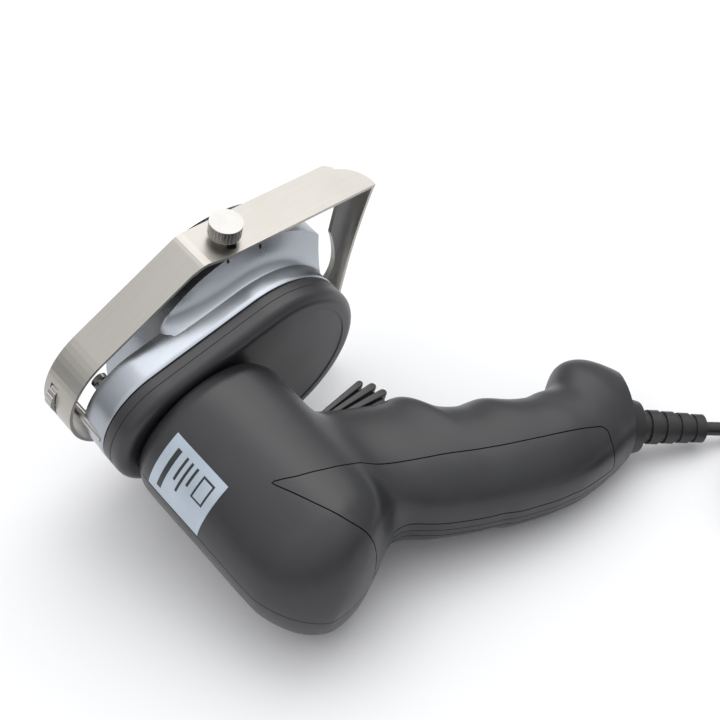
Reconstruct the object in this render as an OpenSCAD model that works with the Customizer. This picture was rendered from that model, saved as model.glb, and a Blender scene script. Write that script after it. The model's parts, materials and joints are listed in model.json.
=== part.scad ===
// Handheld electric roast-meat slicer with a round blade, a sliding thickness
// guard, a pistol handle and a mains lead.  All lengths are in millimetres.
// Tool axes used by every module: x forward along the blade axis, z up along
// the head, y to the left.  place() lays the finished tool on its left side.

/* [Blade and guard] */
// Blade diameter
blade_d = 100; // [80:1:120]
// Distance of the cutting edge in front of the guard legs
edge_x = 6; // [1:0.5:8]
// Half width across the outside of the guard legs
guard_w = 56; // [46:0.5:66]
// Guard sheet thickness
sheet_t = 1.5; // [1:0.1:2.5]
// Axial width of the guard band
band_x = 20; // [14:0.5:26]
// Lower end of the guard legs below the blade axis
leg_z = 64; // [54:1:76]
// Height of the guard top above the blade axis
guard_top = 84; // [70:1:96]

/* [Gear case] */
// Radius of the round lower end of the gear case
case_r = 42.5; // [38:0.5:52]
// Radius of the small upper end of the gear case
case_top_r = 28; // [22:0.5:34]
// Height of the small end centre above the blade axis
case_top_z = 52; // [44:1:60]
// Plane where the metal case meets the plastic cover
joint_x = -34; // [-40:1:-30]
// Depth of the plastic gear cover
cover_x = 12; // [9:1:18]
// Teeth on the large gear
gear_teeth = 74; // [60:1:90]
// Teeth on the motor pinion
pinion_teeth = 12; // [9:1:16]

/* [Motor housing] */
// Motor axis height above the blade axis
motor_z = 43; // [38:1:50]
// Share of the motor housing height that lies below its widest line
body_low = 0.45; // [0.35:0.01:0.6]
// Shell wall thickness
wall = 2.8; // [2:0.1:4]

/* [Handle] */
// Half width of the trigger
trigger_w = 6.5; // [4:0.5:7]
// Depth of the panel recess in the handle shell
panel_t = 1.6; // [1:0.1:2.2]

/* [Resting pose] */
// Roll of the tool about its long handle when it lies on the table
rest_roll = 17.4; // [0:0.1:30]
// Pitch of the tool when it lies on the table
rest_pitch = 2.9; // [-10:0.1:15]
// Height of the blade centre above the table
rest_lift = 67.4; // [40:0.1:90]

/* [Lead] */
// Outside diameter of the mains lead
cord_d = 6; // [5:0.1:8]
// Mean diameter of the coiled spare lead
coil_d = 66.5; // [60:0.5:80]

/* [Hidden] */
eps = 0.01;
rest_at = [-26, 74.3];
relief_at = [-150, 0, -106];
relief_tilt = 36;
slice_t = 0.1;
seam = 0.05;
blade_r = blade_d / 2;
hood_r = guard_w - 2;
hood_wall = 2.5;
hood_cut_z = -38;
cover_end = joint_x - cover_x;
bend_z = 24;
bend_r = 8;
guard_top_r = 30;
screw_z = 10;
screw_x = -11;
stud_z = 78.5;
wheel_x = -5.5;
wheel_r = 7.6;
gear_x0 = -38.5;
gear_x1 = -30.5;
gear_mod = 1;
pressure = 20;
backlash = 0.4;
bore_slack = 0.02;
plate_c = [-18, -50];
plate_r = 14.6;
trigger_pivot = [-80, 6];
// Centres of the cover screws in y and z
cover_screw_at = [[27, 38], [-27, 38], [14, 70], [-14, 70]];
// Centres of the housing screws in x and z
housing_screw_at = [[-68, 70.3], [-126, 62], [-65.5, 16.8], [-126, -10], [-140, -60], [-128, -100]];
steel = [0.78, 0.78, 0.76];
bright = [0.86, 0.87, 0.88];
black = [0.12, 0.12, 0.13];
copper = [0.72, 0.42, 0.2];
brass = [0.8, 0.66, 0.32];
dark = [0.2, 0.2, 0.22];

// Lead route in the resting frame, from the relief down to the coil.
lead_route = [
    [108, -90.2, 9], [113.7, -94.2, 7.5], [119.4, -98.2, 6.2], [125.2, -102.2, 5.1],
    [130.9, -106.2, 4.2], [136.6, -110.2, 3.6], [146.6, -117.1, 3.2]
];
// Tail of the lead, from the coil to the plug.
tail_route = [
    [121, -199.9, 9.2], [115, -199.9, 9.2], [109, -199.9, 9], [103, -199.9, 8.7],
    [97, -199.9, 8.4], [91, -199.9, 8.1], [81, -199.9, 8]
];
coil_at = [121, -153.6];
coil_half = 15.9;
coil_h = 12.3;
plug_at = [81, -199.9, 8];
plug_turn = 180;

// Handle stations: z, front x, back x, half width
grip_stations = [
    [ 24,  -62, -131, 25],
    [ 10,  -70, -133, 22.5],
    [ -4,  -77, -142, 21.5],
    [-18,  -83, -149, 21],
    [-28,  -85, -153, 21],
    [-34,  -96, -156, 21],
    [-43, -102, -159, 21],
    [-51, -104, -161.5, 21],
    [-56, -105, -162.5, 21],
    [-64, -112, -164, 21],
    [-72, -117, -164.5, 21],
    [-79, -117, -164.5, 20.5],
    [-88, -120, -164, 20],
    [-95, -115, -163, 19.5],
    [-102, -112, -162, 19],
    [-110, -115, -161, 17],
    [-117, -124, -160, 14]
];
// Motor housing stations: x, half width, lowest z, highest z
body_stations = [
    [-50, 29, 14, 71],
    [-52, 31.5, 12, 74],
    [-57, 34, 10, 76.5],
    [-118, 34, 10, 76.5],
    [-127, 33, 13, 74.5],
    [-134, 30.5, 19, 71.5],
    [-139, 26, 27, 68],
    [-143, 19.5, 36, 64],
    [-145.5, 12, 45, 60.5],
    [-146.5, 6, 50, 58]
];
// Side outline of the grip panels in x and z
panel_outline = [
    [-99, 54.5], [-103.4, 46], [-107, 36], [-109.5, 25], [-110, 17], [-114.3, 5.5],
    [-120, -8], [-124.2, -18.4], [-133.4, -38], [-141.5, -59], [-149.3, -79],
    [-151, -82.5], [-153, -84], [-157, -83], [-174, -77], [-176, -20], [-134, 22],
    [-150, 32], [-150, 36], [-139, 37], [-129.4, 43], [-118, 47.8], [-108.6, 51.3]
];

module place() {
    translate([rest_at[0], rest_at[1], rest_lift])
        rotate([rest_roll, rest_pitch, 0])
            rotate([-90, 0, 90])
                children();
}

module xcyl(x0, x1, r) {
    translate([x0, 0, 0])
        rotate([0, 90, 0])
            cylinder(h = x1 - x0, r = r, $fn = 96);
}

module xcone(x0, x1, r0, r1) {
    translate([x0, 0, 0])
        rotate([0, 90, 0])
            cylinder(h = x1 - x0, r1 = r0, r2 = r1, $fn = 96);
}

module ycyl(y0, y1, r) {
    translate([0, y0, 0])
        rotate([-90, 0, 0])
            cylinder(h = y1 - y0, r = r, $fn = 64);
}

// Extrudes a flat y-z drawing from x0 to x1.
module xslab(x0, x1) {
    translate([x0, 0, 0])
        rotate([90, 0, 90])
            linear_extrude(x1 - x0)
                children();
}

// Extrudes a flat x-z drawing from y0 to y1.
module yslab(y0, y1) {
    translate([0, y1, 0])
        rotate([90, 0, 0])
            linear_extrude(y1 - y0)
                children();
}

// Pear outline of the gear case, shrunk by d.
module pear(d) {
    hull() {
        circle(r = case_r - d, $fn = 96);
        translate([0, case_top_z])
            circle(r = case_top_r - d, $fn = 72);
    }
}

// Outline of the guard loop, shrunk by d.
module loop(d) {
    hull() {
        translate([0, guard_top - guard_top_r])
            circle(r = guard_top_r - d, $fn = 72);
        for (s = [-1, 1])
            translate([s * (guard_w - bend_r), bend_z - 2])
                circle(r = bend_r - d, $fn = 32);
    }
    translate([-guard_w + d, -leg_z - 1])
        square([2 * (guard_w - d), leg_z + bend_z - 1]);
}

// ---- rotating blade group ----

module blade() {
    place() color(bright)
        difference() {
            rotate([0, 90, 0])
                rotate_extrude($fn = 144)
                    polygon([
                        [4, edge_x - 4], [16, edge_x - 4], [blade_r - 10, edge_x - 2.6],
                        [blade_r - 6, edge_x - 1.4], [blade_r, edge_x - 0.2],
                        [blade_r, edge_x], [blade_r - 7, edge_x - 0.2],
                        [blade_r - 11, edge_x - 1.2], [16, edge_x - 2.6], [4, edge_x - 2.6]
                    ]);
            xcyl(-1, 6, 4.02);
            for (a = [90, 210, 330])
                rotate([a, 0, 0])
                    translate([0, 0, 11])
                        xcyl(-1, 6, 2.2);
        }
}

module blade_hub() {
    place() color(steel)
        difference() {
            union() {
                xcyl(-8, edge_x - 4, 16);
                xcyl(-14, -8, 9);
            }
            xcyl(-15, 6, 4);
            for (a = [90, 210, 330])
                rotate([a, 0, 0])
                    translate([0, 0, 11])
                        xcyl(-9, 6, 1.6);
        }
}

module blade_screws() {
    place() color(steel)
        for (a = [90, 210, 330])
            rotate([a, 0, 0])
                translate([0, 0, 11])
                    difference() {
                        union() {
                            xcyl(-6, edge_x - 2.6, 1.6);
                            xcyl(edge_x - 2.6, edge_x - 0.8, 3.4);
                        }
                        translate([edge_x - 1.6, -2.2, -0.5])
                            cube([2, 4.4, 1]);
                    }
}

module blade_spindle() {
    place() color(steel) {
        xcyl(-43, edge_x - 1.4, 4);
        xcyl(edge_x - 1.4, edge_x - 0.9, 3.4);
    }
}

module bearing(x0, x1, r_in, r_out) {
    rim = (r_out - r_in) * 0.25;
    difference() {
        xcyl(x0, x1, r_out);
        xcyl(x0 - 1, x1 + 1, r_in);
        difference() {
            xcyl(x0 - 1, x0 + 0.5, r_out - rim);
            xcyl(x0 - 2, x0 + 1, r_in + rim);
        }
        difference() {
            xcyl(x1 - 0.5, x1 + 1, r_out - rim);
            xcyl(x1 - 1, x1 + 2, r_in + rim);
        }
    }
}

module spindle_bearing_front() {
    place() color(bright)
        bearing(-25, -18, 4 + bore_slack, 11);
}

module spindle_bearing_rear() {
    place() color(bright)
        bearing(-43.5, -39.5, 4 + bore_slack, 8);
}

// Straight-sided approximation of an involute tooth, three points a side.
module gear_outline(teeth) {
    rp = gear_mod * teeth / 2;
    ra = rp + gear_mod * 0.95;
    rf = rp - gear_mod * 1.25;
    half_p = 90 / teeth - backlash / 4 / rp * 180 / PI;
    half_a = half_p - (ra - rp) * tan(pressure) / rp * 180 / PI * 1.05;
    half_f = half_p + (rp - rf) * tan(pressure) / rp * 180 / PI * 0.8;
    polygon([
        for (i = [0 : teeth - 1])
            for (q = [[-half_f, rf], [-half_p, rp], [-half_a, ra],
                      [half_a, ra], [half_p, rp], [half_f, rf]])
                let (a = i * 360 / teeth + q[0])
                    [q[1] * cos(a), q[1] * sin(a)]
    ]);
}

module driven_gear() {
    place() color(steel)
        difference() {
            union() {
                xslab(gear_x0, gear_x1)
                    gear_outline(gear_teeth);
                xcyl(gear_x1 - eps, gear_x1 + 2, 9);
            }
            xcyl(gear_x0 - 1, gear_x1 + 3, 4);
            difference() {
                xcyl(gear_x0 - 1, gear_x0 + 2, 32);
                xcyl(gear_x0 - 2, gear_x0 + 3, 11);
            }
            for (a = [0 : 60 : 300])
                rotate([a, 0, 0])
                    translate([0, 0, 21])
                        xcyl(gear_x0 - 1, gear_x1 + 1, 5.5);
        }
}

// ---- motor ----

module at_motor() {
    translate([0, 0, motor_z])
        children();
}

module motor_pinion() {
    place() color(steel)
        at_motor()
            difference() {
                xslab(gear_x0 - 0.5, gear_x1 + 0.5)
                    rotate(-90)
                        gear_outline(pinion_teeth);
                xcyl(gear_x0 - 2, gear_x1 + 2, 3);
            }
}

module armature_shaft() {
    place() color(steel)
        at_motor()
            xcyl(-134, -26, 3);
}

module rotor_core() {
    place() color(dark)
        at_motor()
            difference() {
                xcyl(-110, -72, 17);
                xcyl(-111, -71, 3);
                for (a = [0 : 30 : 330])
                    rotate([a, 0, 0])
                        translate([-111, -1, 14])
                            cube([40, 2, 4]);
            }
}

module rotor_windings() {
    place() color(copper)
        at_motor() {
            for (x = [-117, -72])
                difference() {
                    xcyl(x, x + 7, 14.5);
                    xcyl(x - 1, x + 8, 3);
                }
        }
}

module commutator() {
    place() color(copper)
        at_motor()
            difference() {
                xcyl(-126, -117.2, 9);
                xcyl(-127, -116, 3);
                for (a = [0 : 15 : 345])
                    rotate([a, 0, 0])
                        translate([-127, -0.25, 8])
                            cube([14, 0.5, 2]);
            }
}

module cooling_fan() {
    place() color(black)
        at_motor()
            difference() {
                union() {
                    xcyl(-56, -54.5, 25);
                    xcyl(-64, -56, 7);
                    for (a = [0 : 30 : 330])
                        rotate([a, 0, 0])
                            translate([-64, -0.8, 10])
                                cube([8.5, 1.6, 15]);
                }
                xcyl(-65, -53, 3);
            }
}

module motor_bearing_front() {
    place() color(bright)
        at_motor()
            bearing(-52, -46, 3 + bore_slack, 9.5);
}

module motor_bearing_rear() {
    place() color(bright)
        at_motor()
            bearing(-133.5, -127.5, 3 + bore_slack, 9.5);
}

module rear_bearing_carrier() {
    place() color(black)
        at_motor()
            difference() {
                union() {
                    xcyl(-136, -127.5, 12.5);
                    translate([-130, -26, -4])
                        cube([2.5, 52, 8]);
                }
                xcyl(-133.5, -127, 9.5);
                xcyl(-137, -127, 5);
            }
}

module stator_core() {
    place() color(dark)
        at_motor()
            difference() {
                xcyl(-109, -73, 27);
                xcyl(-110, -72, 17.6);
                for (s = [-1, 1])
                    translate([-110, -13, s * 20.5 - 3.5])
                        cube([38, 26, 7]);
                for (a = [45 : 90 : 315])
                    rotate([a, 0, 0])
                        translate([0, 0, 24.4])
                            xcyl(-110, -72, 1.6);
            }
}

module field_coils() {
    place() color(copper)
        at_motor()
            for (s = [-1, 1])
                difference() {
                    translate([-116, -12.5, s * 20.5 - 3.2])
                        cube([50, 25, 6.4]);
                    translate([-109.2, -6, s * 20.5 - 5])
                        cube([36.4, 12, 10]);
                    xcyl(-118, -62, 17.8);
                }
}

module brush_holders() {
    place() color(brass)
        at_motor()
            for (s = [-1, 1])
                difference() {
                    translate([-125.6, min(s * 10, s * 27), -5])
                        cube([8.2, 17, 10]);
                    translate([-124.8, min(s * 9, s * 26), -4])
                        cube([6.6, 17, 8]);
                }
}

module carbon_brushes() {
    place() color(dark)
        at_motor()
            for (s = [-1, 1])
                translate([-124.8, min(s * 9.4, s * 24), -4])
                    cube([6.6, 14.6, 8]);
}

// ---- metal gear case with blade hood ----

module above_cut() {
    intersection() {
        children();
        translate([-60, -80, hood_cut_z])
            cube([80, 160, 160]);
    }
}

module cover_bosses(x0, x1) {
    for (p = cover_screw_at)
        translate([0, p[0], p[1]])
            xcyl(x0, x1, 4);
}

module gear_case() {
    place() color(bright)
        difference() {
            union() {
                xslab(joint_x, -24)
                    pear(0);
                above_cut() {
                    xslab(-24 - eps, -18)
                        pear(1.2);
                    xcone(-28, -20, case_r - 1, hood_r);
                    xcyl(-20 - eps, 0, hood_r);
                }
                xcyl(-24.5, -17, 15);
            }
            difference() {
                xslab(joint_x - 1, -27.5)
                    pear(3);
                at_motor()
                    xcyl(-30, -27, 6.5);
                cover_bosses(joint_x - 2, -27);
            }
            difference() {
                xcyl(-18, 1, hood_r - hood_wall);
                xcyl(-19, -17, 15);
            }
            xcyl(-25, -16, 11);
            xcyl(-28.5, -16, 7);
            at_motor()
                xcyl(-31, -25.5, 3 + bore_slack);
            translate([-27, -8, 70])
                cube([30, 16, 20]);
            for (s = [-1, 1])
                translate([screw_x, 0, screw_z])
                    ycyl(min(s * 44, s * 60), max(s * 44, s * 60), 2 + bore_slack * 2);
            translate([0, 0, stud_z])
                xcyl(-32, -26, 2);
            for (s = [-1, 1])
                for (z = [-3, 13])
                    translate([-23, s * (hood_r + 1) - 3, z - 0.4])
                        cube([7, 6, 0.8]);
            for (p = cover_screw_at)
                translate([0, p[0], p[1]])
                    xcyl(-35, -17, 2);
        }
}

module gear_cover() {
    place() color(black)
        difference() {
            union() {
                hull() {
                    xslab(cover_end + 5, joint_x)
                        pear(0);
                    xslab(cover_end + 1.5, joint_x)
                        pear(1.5);
                    xslab(cover_end, joint_x)
                        pear(5);
                }
                at_motor()
                    xcyl(-52, -44, 12.5);
            }
            difference() {
                xslab(-43, joint_x + 1)
                    pear(3);
                xcyl(-44, -39.5, 11);
                cover_bosses(-44, joint_x + 2);
            }
            xcyl(-43.5, -38, 8);
            at_motor() {
                xcyl(-52.5, -46, 9.5);
                xcyl(-47, -40, 8);
            }
            for (p = cover_screw_at)
                translate([0, p[0], p[1]])
                    xcyl(-42, joint_x + 1, 1.6);
        }
}

module cover_screws() {
    place() color(steel)
        for (p = cover_screw_at)
            translate([0, p[0], p[1]]) {
                xcyl(-42, -18, 1.6);
                difference() {
                    xcyl(-18, -15.8, 3.4);
                    translate([-16.8, -0.5, -2.4])
                        cube([1.5, 1, 4.8]);
                    translate([-16.8, -2.4, -0.5])
                        cube([1.5, 4.8, 1]);
                }
            }
}

// ---- thickness guard ----

// Side outline of the guard legs with their rounded lower ends.
module leg_side() {
    difference() {
        translate([-band_x, -leg_z - 2])
            square([band_x, guard_top + leg_z + 10]);
        difference() {
            translate([-40, -90])
                square([60, 90 + plate_c[1] - 5]);
            translate(plate_c)
                circle(r = plate_r, $fn = 96);
        }
        polygon([[1, -30], [1, -60], [-6.4, -59.2], [0, -52]]);
    }
}

module guard_band() {
    place() color(steel)
        difference() {
            intersection() {
                xslab(-band_x, 0)
                    difference() {
                        loop(0);
                        loop(sheet_t);
                        translate([-guard_w + sheet_t, -leg_z - 3])
                            square([2 * (guard_w - sheet_t), leg_z]);
                    }
                yslab(-guard_w - 1, guard_w + 1)
                    leg_side();
            }
            yslab(-guard_w - 1, guard_w + 1)
                polygon([[-band_x - 1, 8], [-17.5, 30], [-17.5, 100], [-band_x - 1, 100]]);
            for (s = [-1, 1])
                hull()
                    for (x = [screw_x - 4.5, screw_x + 3.5])
                        translate([x, 0, screw_z])
                            ycyl(min(s * 50, s * 60), max(s * 50, s * 60), 2.4);
            translate([wheel_x - 2.3, -8, guard_top - 4])
                cube([4.6, 16, 8]);
        }
}

module guide_plate() {
    place() color(steel)
        difference() {
            intersection() {
                translate([plate_c[0], 0, plate_c[1]])
                    difference() {
                        ycyl(-guard_w + sheet_t, guard_w - sheet_t, plate_r);
                        ycyl(-guard_w, guard_w, plate_r - sheet_t);
                    }
                translate([-band_x, -60, -80])
                    cube([band_x, 120, 21.5]);
            }
            xcyl(-30, 5, 61.5);
            translate([-17 - 524, 0, -80])
                cylinder(h = 40, r = 524, $fn = 360);
        }
}

module side_screw() {
    translate([screw_x, 0, screw_z]) {
        ycyl(46, guard_w + 0.5, 2);
        ycyl(guard_w + 0.3, guard_w + 3.5, 3.6);
        difference() {
            ycyl(guard_w + 3.2, guard_w + 9.5, 6.8);
            for (a = [0 : 12 : 348])
                rotate([0, a, 0])
                    translate([6.9, 0, 0])
                        ycyl(guard_w + 3, guard_w + 9, 0.35);
        }
    }
}

module side_screw_right() {
    place() color(steel)
        mirror([0, 1, 0])
            side_screw();
}

module side_screw_left() {
    place() color(steel)
        side_screw();
}

module adjuster_stud() {
    place() color(dark)
        translate([0, 0, stud_z])
            xcyl(-32, 1, 2);
}

module adjuster_wheel() {
    place() color(steel)
        translate([0, 0, stud_z])
            difference() {
                xcyl(wheel_x - 2, wheel_x + 2, wheel_r);
                xcyl(wheel_x - 3, wheel_x + 3, 2 + bore_slack * 2);
                for (a = [0 : 15 : 345])
                    rotate([a, 0, 0])
                        translate([0, 0, wheel_r + 0.2])
                            xcyl(wheel_x - 3, wheel_x + 3, 0.45);
            }
}

// ---- clamshell housing ----

// One ring of a rounded section: half width, upper and lower half heights
// and the upper and lower corner powers (2 is an ellipse, more is squarer).
function ring(n, wide, up, down, p_up, p_down) = [
    for (i = [0 : n - 1])
        let (a = 360 * i / n, c = cos(a), s = sin(a), p = s > 0 ? p_up : p_down)
            [wide * sign(c) * pow(abs(c), 2 / p),
             (s > 0 ? up : down) * sign(s) * pow(abs(s), 2 / p)]
];

module skin(rings) {
    n = len(rings[0]);
    m = len(rings);
    polyhedron(
        points = [for (r = rings) for (p = r) p],
        faces = concat(
            [[for (i = [0 : n - 1]) i]],
            [for (k = [0 : m - 2]) for (i = [0 : n - 1])
                [k * n + i, (k + 1) * n + i, (k + 1) * n + (i + 1) % n, k * n + (i + 1) % n]],
            [[for (i = [n - 1 : -1 : 0]) (m - 1) * n + i]]
        ),
        convexity = 6
    );
}

module motor_slice(s, d) {
    tall = s[3] - s[2];
    translate([s[0] + (s[0] < -100 ? d : 0), 0, s[2] + body_low * tall])
        rotate([90, 0, 90])
            linear_extrude(slice_t)
                polygon(ring(24, s[1] - d, tall * (1 - body_low) - d, tall * body_low - d, 1.8, 2.5));
}

module motor_shell(d) {
    for (k = [0 : len(body_stations) - 2])
        hull() {
            motor_slice(body_stations[k], d);
            motor_slice(body_stations[k + 1], d);
        }
}

module grip_slice(s, d) {
    translate([(s[1] + s[2]) / 2, 0, s[0] + (s[0] < -110 ? d : 0)])
        linear_extrude(slice_t)
            polygon(ring(24, (s[1] - s[2]) / 2 - d, s[3] - d, s[3] - d, 2.3, 2.3));
}

module grip_shell(d) {
    for (k = [0 : len(grip_stations) - 2])
        hull() {
            grip_slice(grip_stations[k], d);
            grip_slice(grip_stations[k + 1], d);
        }
}

module shell(d) {
    motor_shell(d);
    grip_shell(d);
}

module housing_holes() {
    translate([-60, 0, motor_z])
        xcyl(0, 20, 22);
    translate([-98, -7.5, -30])
        cube([36, 15, 36]);
    translate(relief_at)
        rotate([0, relief_tilt, 0])
            translate([0, 0, -10])
                cylinder(h = 30, r = 7.1, $fn = 48);
}

// Everything past the slanted end of the handle, and d more.
module butt_cut(d) {
    translate(relief_at)
        rotate([0, relief_tilt - 3, 0])
            translate([-60, -40, d - 60])
                cube([120, 80, 60]);
}

// Left half of the clamshell.
module shell_half() {
    difference() {
        intersection() {
            shell(0);
            translate([-200, seam, -150])
                cube([160, 60, 300]);
        }
        difference() {
            shell(wall);
            butt_cut(wall);
        }
        housing_holes();
        butt_cut(0);
        difference() {
            yslab(4, 60)
                polygon(panel_outline);
            shell(panel_t);
        }
    }
}

module housing_right() {
    place() color(black)
        mirror([0, 1, 0])
            shell_half();
}

module housing_left() {
    place() color(black)
        shell_half();
}

module grip_panel() {
    difference() {
        intersection() {
            shell(0);
            yslab(4.2, 60)
                polygon(panel_outline);
        }
        shell(panel_t);
    }
}

module grip_panel_right() {
    place() color(dark)
        mirror([0, 1, 0])
            grip_panel();
}

module grip_panel_left() {
    place() color(dark)
        grip_panel();
}

module housing_screws() {
    place() color(steel)
        for (p = housing_screw_at)
            translate([p[0], 0, p[1]])
                ycyl(-10, 12, 1.5);
}

module rating_label() {
    place() color(bright)
        intersection() {
            difference() {
                motor_shell(-0.3);
                motor_shell(0);
            }
            translate([-94, -29, 55])
                cube([33, 27.5, 40]);
        }
}

// ---- trigger and switch ----

module trigger() {
    place() color(black)
        difference() {
            union() {
                yslab(-trigger_w, trigger_w)
                    polygon([[-75, 4], [-73.5, -2], [-71.5, -24], [-73, -28],
                             [-80, -29], [-86, -26], [-86, 2], [-82, 9], [-78, 9]]);
                for (y = [-4.4, 0, 4.4])
                    yslab(y - 0.9, y + 0.9)
                        polygon([[-75, 3], [-72.7, -2], [-70, -25], [-71.5, -28], [-76, -28], [-78, 2]]);
            }
            translate([trigger_pivot[0], 0, trigger_pivot[1]])
                ycyl(-8, 8, 1.5 + bore_slack);
        }
}

module trigger_pin() {
    place() color(steel)
        translate([trigger_pivot[0], 0, trigger_pivot[1]])
            ycyl(-10.5, 10.5, 1.5);
}

module switch_module() {
    place() color(dark)
        difference() {
            translate([-118, -9, -24])
                cube([20, 18, 28]);
            translate([-109, -2.6, -16.6])
                cube([13, 5.2, 5.2]);
        }
}

module switch_plunger() {
    place() color(bright)
        translate([-103, -2.2, -16.2])
            cube([16.7, 4.4, 4.4]);
}

module cord_clamp() {
    place() color(dark)
        translate([-152, -8, -98])
            difference() {
                cube([18, 3, 7]);
                for (x = [3, 15])
                    translate([x, 0, 3.5])
                        ycyl(-1, 4, 1.6);
            }
}

module clamp_screws() {
    place() color(steel)
        for (x = [-149, -137])
            translate([x, 0, -94.5]) {
                ycyl(-11, 2, 1.5);
                ycyl(-11, -8, 3);
            }
}

// ---- mains lead ----

module strain_relief() {
    place() color(black)
        translate(relief_at)
            rotate([0, 180 + relief_tilt, 0])
                difference() {
                    union() {
                        cylinder(h = 7, r1 = 13, r2 = 11, $fn = 64);
                        cylinder(h = 38, r1 = 7, r2 = 5.4, $fn = 64);
                        for (k = [0 : 3])
                            translate([0, 0, 12 + 7 * k])
                                cylinder(h = 4.5, r = 7.4 - 0.4 * k, $fn = 64);
                    }
                    translate([0, 0, -1])
                        cylinder(h = 30, r = cord_d / 2, $fn = 48);
                }
}

function hat(v) = v / norm(v);

// Plain round tube along a list of points.
module tube(pts, r, sides) {
    n = len(pts);
    dirs = [for (k = [0 : n - 1]) hat(pts[min(k + 1, n - 1)] - pts[max(k - 1, 0)])];
    skin([
        for (k = [0 : n - 1])
            let (u = hat(cross([0, 0, 1], dirs[k])), w = cross(dirs[k], u))
                [for (i = [0 : sides - 1])
                    pts[k] + r * (cos(360 * i / sides) * u + sin(360 * i / sides) * w)]
    ]);
}

module lead_cord() {
    color(black)
        tube(lead_route, cord_d / 2, 12);
}

module lead_tail() {
    color(black)
        tube(tail_route, cord_d / 2, 12);
}

module lead_coil() {
    color(black)
        translate([coil_at[0], coil_at[1], 0])
            rotate_extrude($fn = 72)
                translate([coil_d / 2 - coil_half, 0])
                    square([2 * coil_half, coil_h]);
}

module at_plug() {
    translate(plug_at)
        rotate([0, 0, plug_turn])
            children();
}

module plug_body() {
    color(black)
        at_plug() {
            xcone(0, 16, 4.5, 6);
            translate([14, -10, -7.9])
                cube([12, 20, 15.8]);
            translate([24, -13, -7.9])
                cube([12, 26, 15.8]);
        }
}

module plug_pins() {
    color(steel)
        at_plug()
            for (s = [-1, 1])
                translate([0, s * 9.3, 0])
                    xcyl(36, 55, 2);
}

blade();
blade_hub();
blade_screws();
blade_spindle();
spindle_bearing_front();
spindle_bearing_rear();
driven_gear();
motor_pinion();
armature_shaft();
rotor_core();
rotor_windings();
commutator();
cooling_fan();
motor_bearing_front();
motor_bearing_rear();
rear_bearing_carrier();
stator_core();
field_coils();
brush_holders();
carbon_brushes();
gear_case();
gear_cover();
cover_screws();
guard_band();
guide_plate();
side_screw_right();
side_screw_left();
adjuster_stud();
adjuster_wheel();
housing_right();
housing_left();
grip_panel_right();
grip_panel_left();
housing_screws();
rating_label();
trigger();
trigger_pin();
switch_module();
switch_plunger();
cord_clamp();
clamp_screws();
strain_relief();
lead_cord();
lead_tail();
lead_coil();
plug_body();
plug_pins();
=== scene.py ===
import json
import math

import bmesh
import bpy
import numpy as np
from mathutils import Matrix, Vector

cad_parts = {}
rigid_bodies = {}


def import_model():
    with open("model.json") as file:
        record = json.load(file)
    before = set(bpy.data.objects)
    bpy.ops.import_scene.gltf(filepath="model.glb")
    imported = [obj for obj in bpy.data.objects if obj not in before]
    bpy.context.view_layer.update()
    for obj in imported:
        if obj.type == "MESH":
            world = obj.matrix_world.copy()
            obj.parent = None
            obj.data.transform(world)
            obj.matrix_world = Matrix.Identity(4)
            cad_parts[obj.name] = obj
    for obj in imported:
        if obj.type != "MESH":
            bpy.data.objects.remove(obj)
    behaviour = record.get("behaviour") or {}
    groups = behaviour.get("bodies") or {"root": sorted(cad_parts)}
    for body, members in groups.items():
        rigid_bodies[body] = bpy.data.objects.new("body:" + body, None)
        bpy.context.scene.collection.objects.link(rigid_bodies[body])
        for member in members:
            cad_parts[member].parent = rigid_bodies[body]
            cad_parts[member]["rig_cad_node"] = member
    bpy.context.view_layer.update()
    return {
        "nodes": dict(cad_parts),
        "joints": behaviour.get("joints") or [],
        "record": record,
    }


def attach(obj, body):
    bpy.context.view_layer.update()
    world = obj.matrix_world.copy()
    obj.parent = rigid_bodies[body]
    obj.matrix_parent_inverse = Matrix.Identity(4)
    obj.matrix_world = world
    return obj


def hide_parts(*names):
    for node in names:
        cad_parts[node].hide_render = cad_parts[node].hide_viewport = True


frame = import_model()
NODES = frame["nodes"]
JOINTS = {j["name"]: j for j in frame["joints"]}

# ---- tool frame: millimetres, x forward along the blade axis, z up the head ----
AX = Vector(JOINTS["blade_spin"]["axis"]).normalized()
AY = Vector(JOINTS["trigger_press"]["axis"]).normalized()
AZ = AX.cross(AY)
AO = Vector(JOINTS["blade_spin"]["pos_m"])
MM = 0.001
TOOL = Matrix((
    (AX.x * MM, AY.x * MM, AZ.x * MM, AO.x),
    (AX.y * MM, AY.y * MM, AZ.y * MM, AO.y),
    (AX.z * MM, AY.z * MM, AZ.z * MM, AO.z),
    (0, 0, 0, 1),
))


def tool_dir(v):
    """A tool-frame direction as a unit vector in the scene."""
    return (AX * v[0] + AY * v[1] + AZ * v[2]).normalized()


# ---- camera: places in the tool frame, in millimetres ----
CAMERA_EYE = Vector((-281.92, -449.9, 287.34))
CAMERA_AIM = Vector((-57.94, 2.86, -36.48))
CAMERA_UP = Vector((0.6508, -0.6276, -0.4274))
CAMERA_LENS = 70


def make_camera():
    """Looks at the tool from behind its right side, as it lies on the table."""
    back = tool_dir(CAMERA_EYE - CAMERA_AIM)
    right = tool_dir(CAMERA_UP).cross(back).normalized()
    up = back.cross(right)
    eye = TOOL @ CAMERA_EYE
    cam = bpy.data.objects.new("camera", bpy.data.cameras.new("camera"))
    cam.data.sensor_width = 36
    cam.data.lens = CAMERA_LENS
    cam.data.clip_start = 0.01
    rows = [(right[k], up[k], back[k], eye[k]) for k in range(3)]
    cam.matrix_world = Matrix((*rows, (0, 0, 0, 1)))
    bpy.context.scene.collection.objects.link(cam)
    bpy.context.scene.camera = cam


make_camera()


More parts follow.
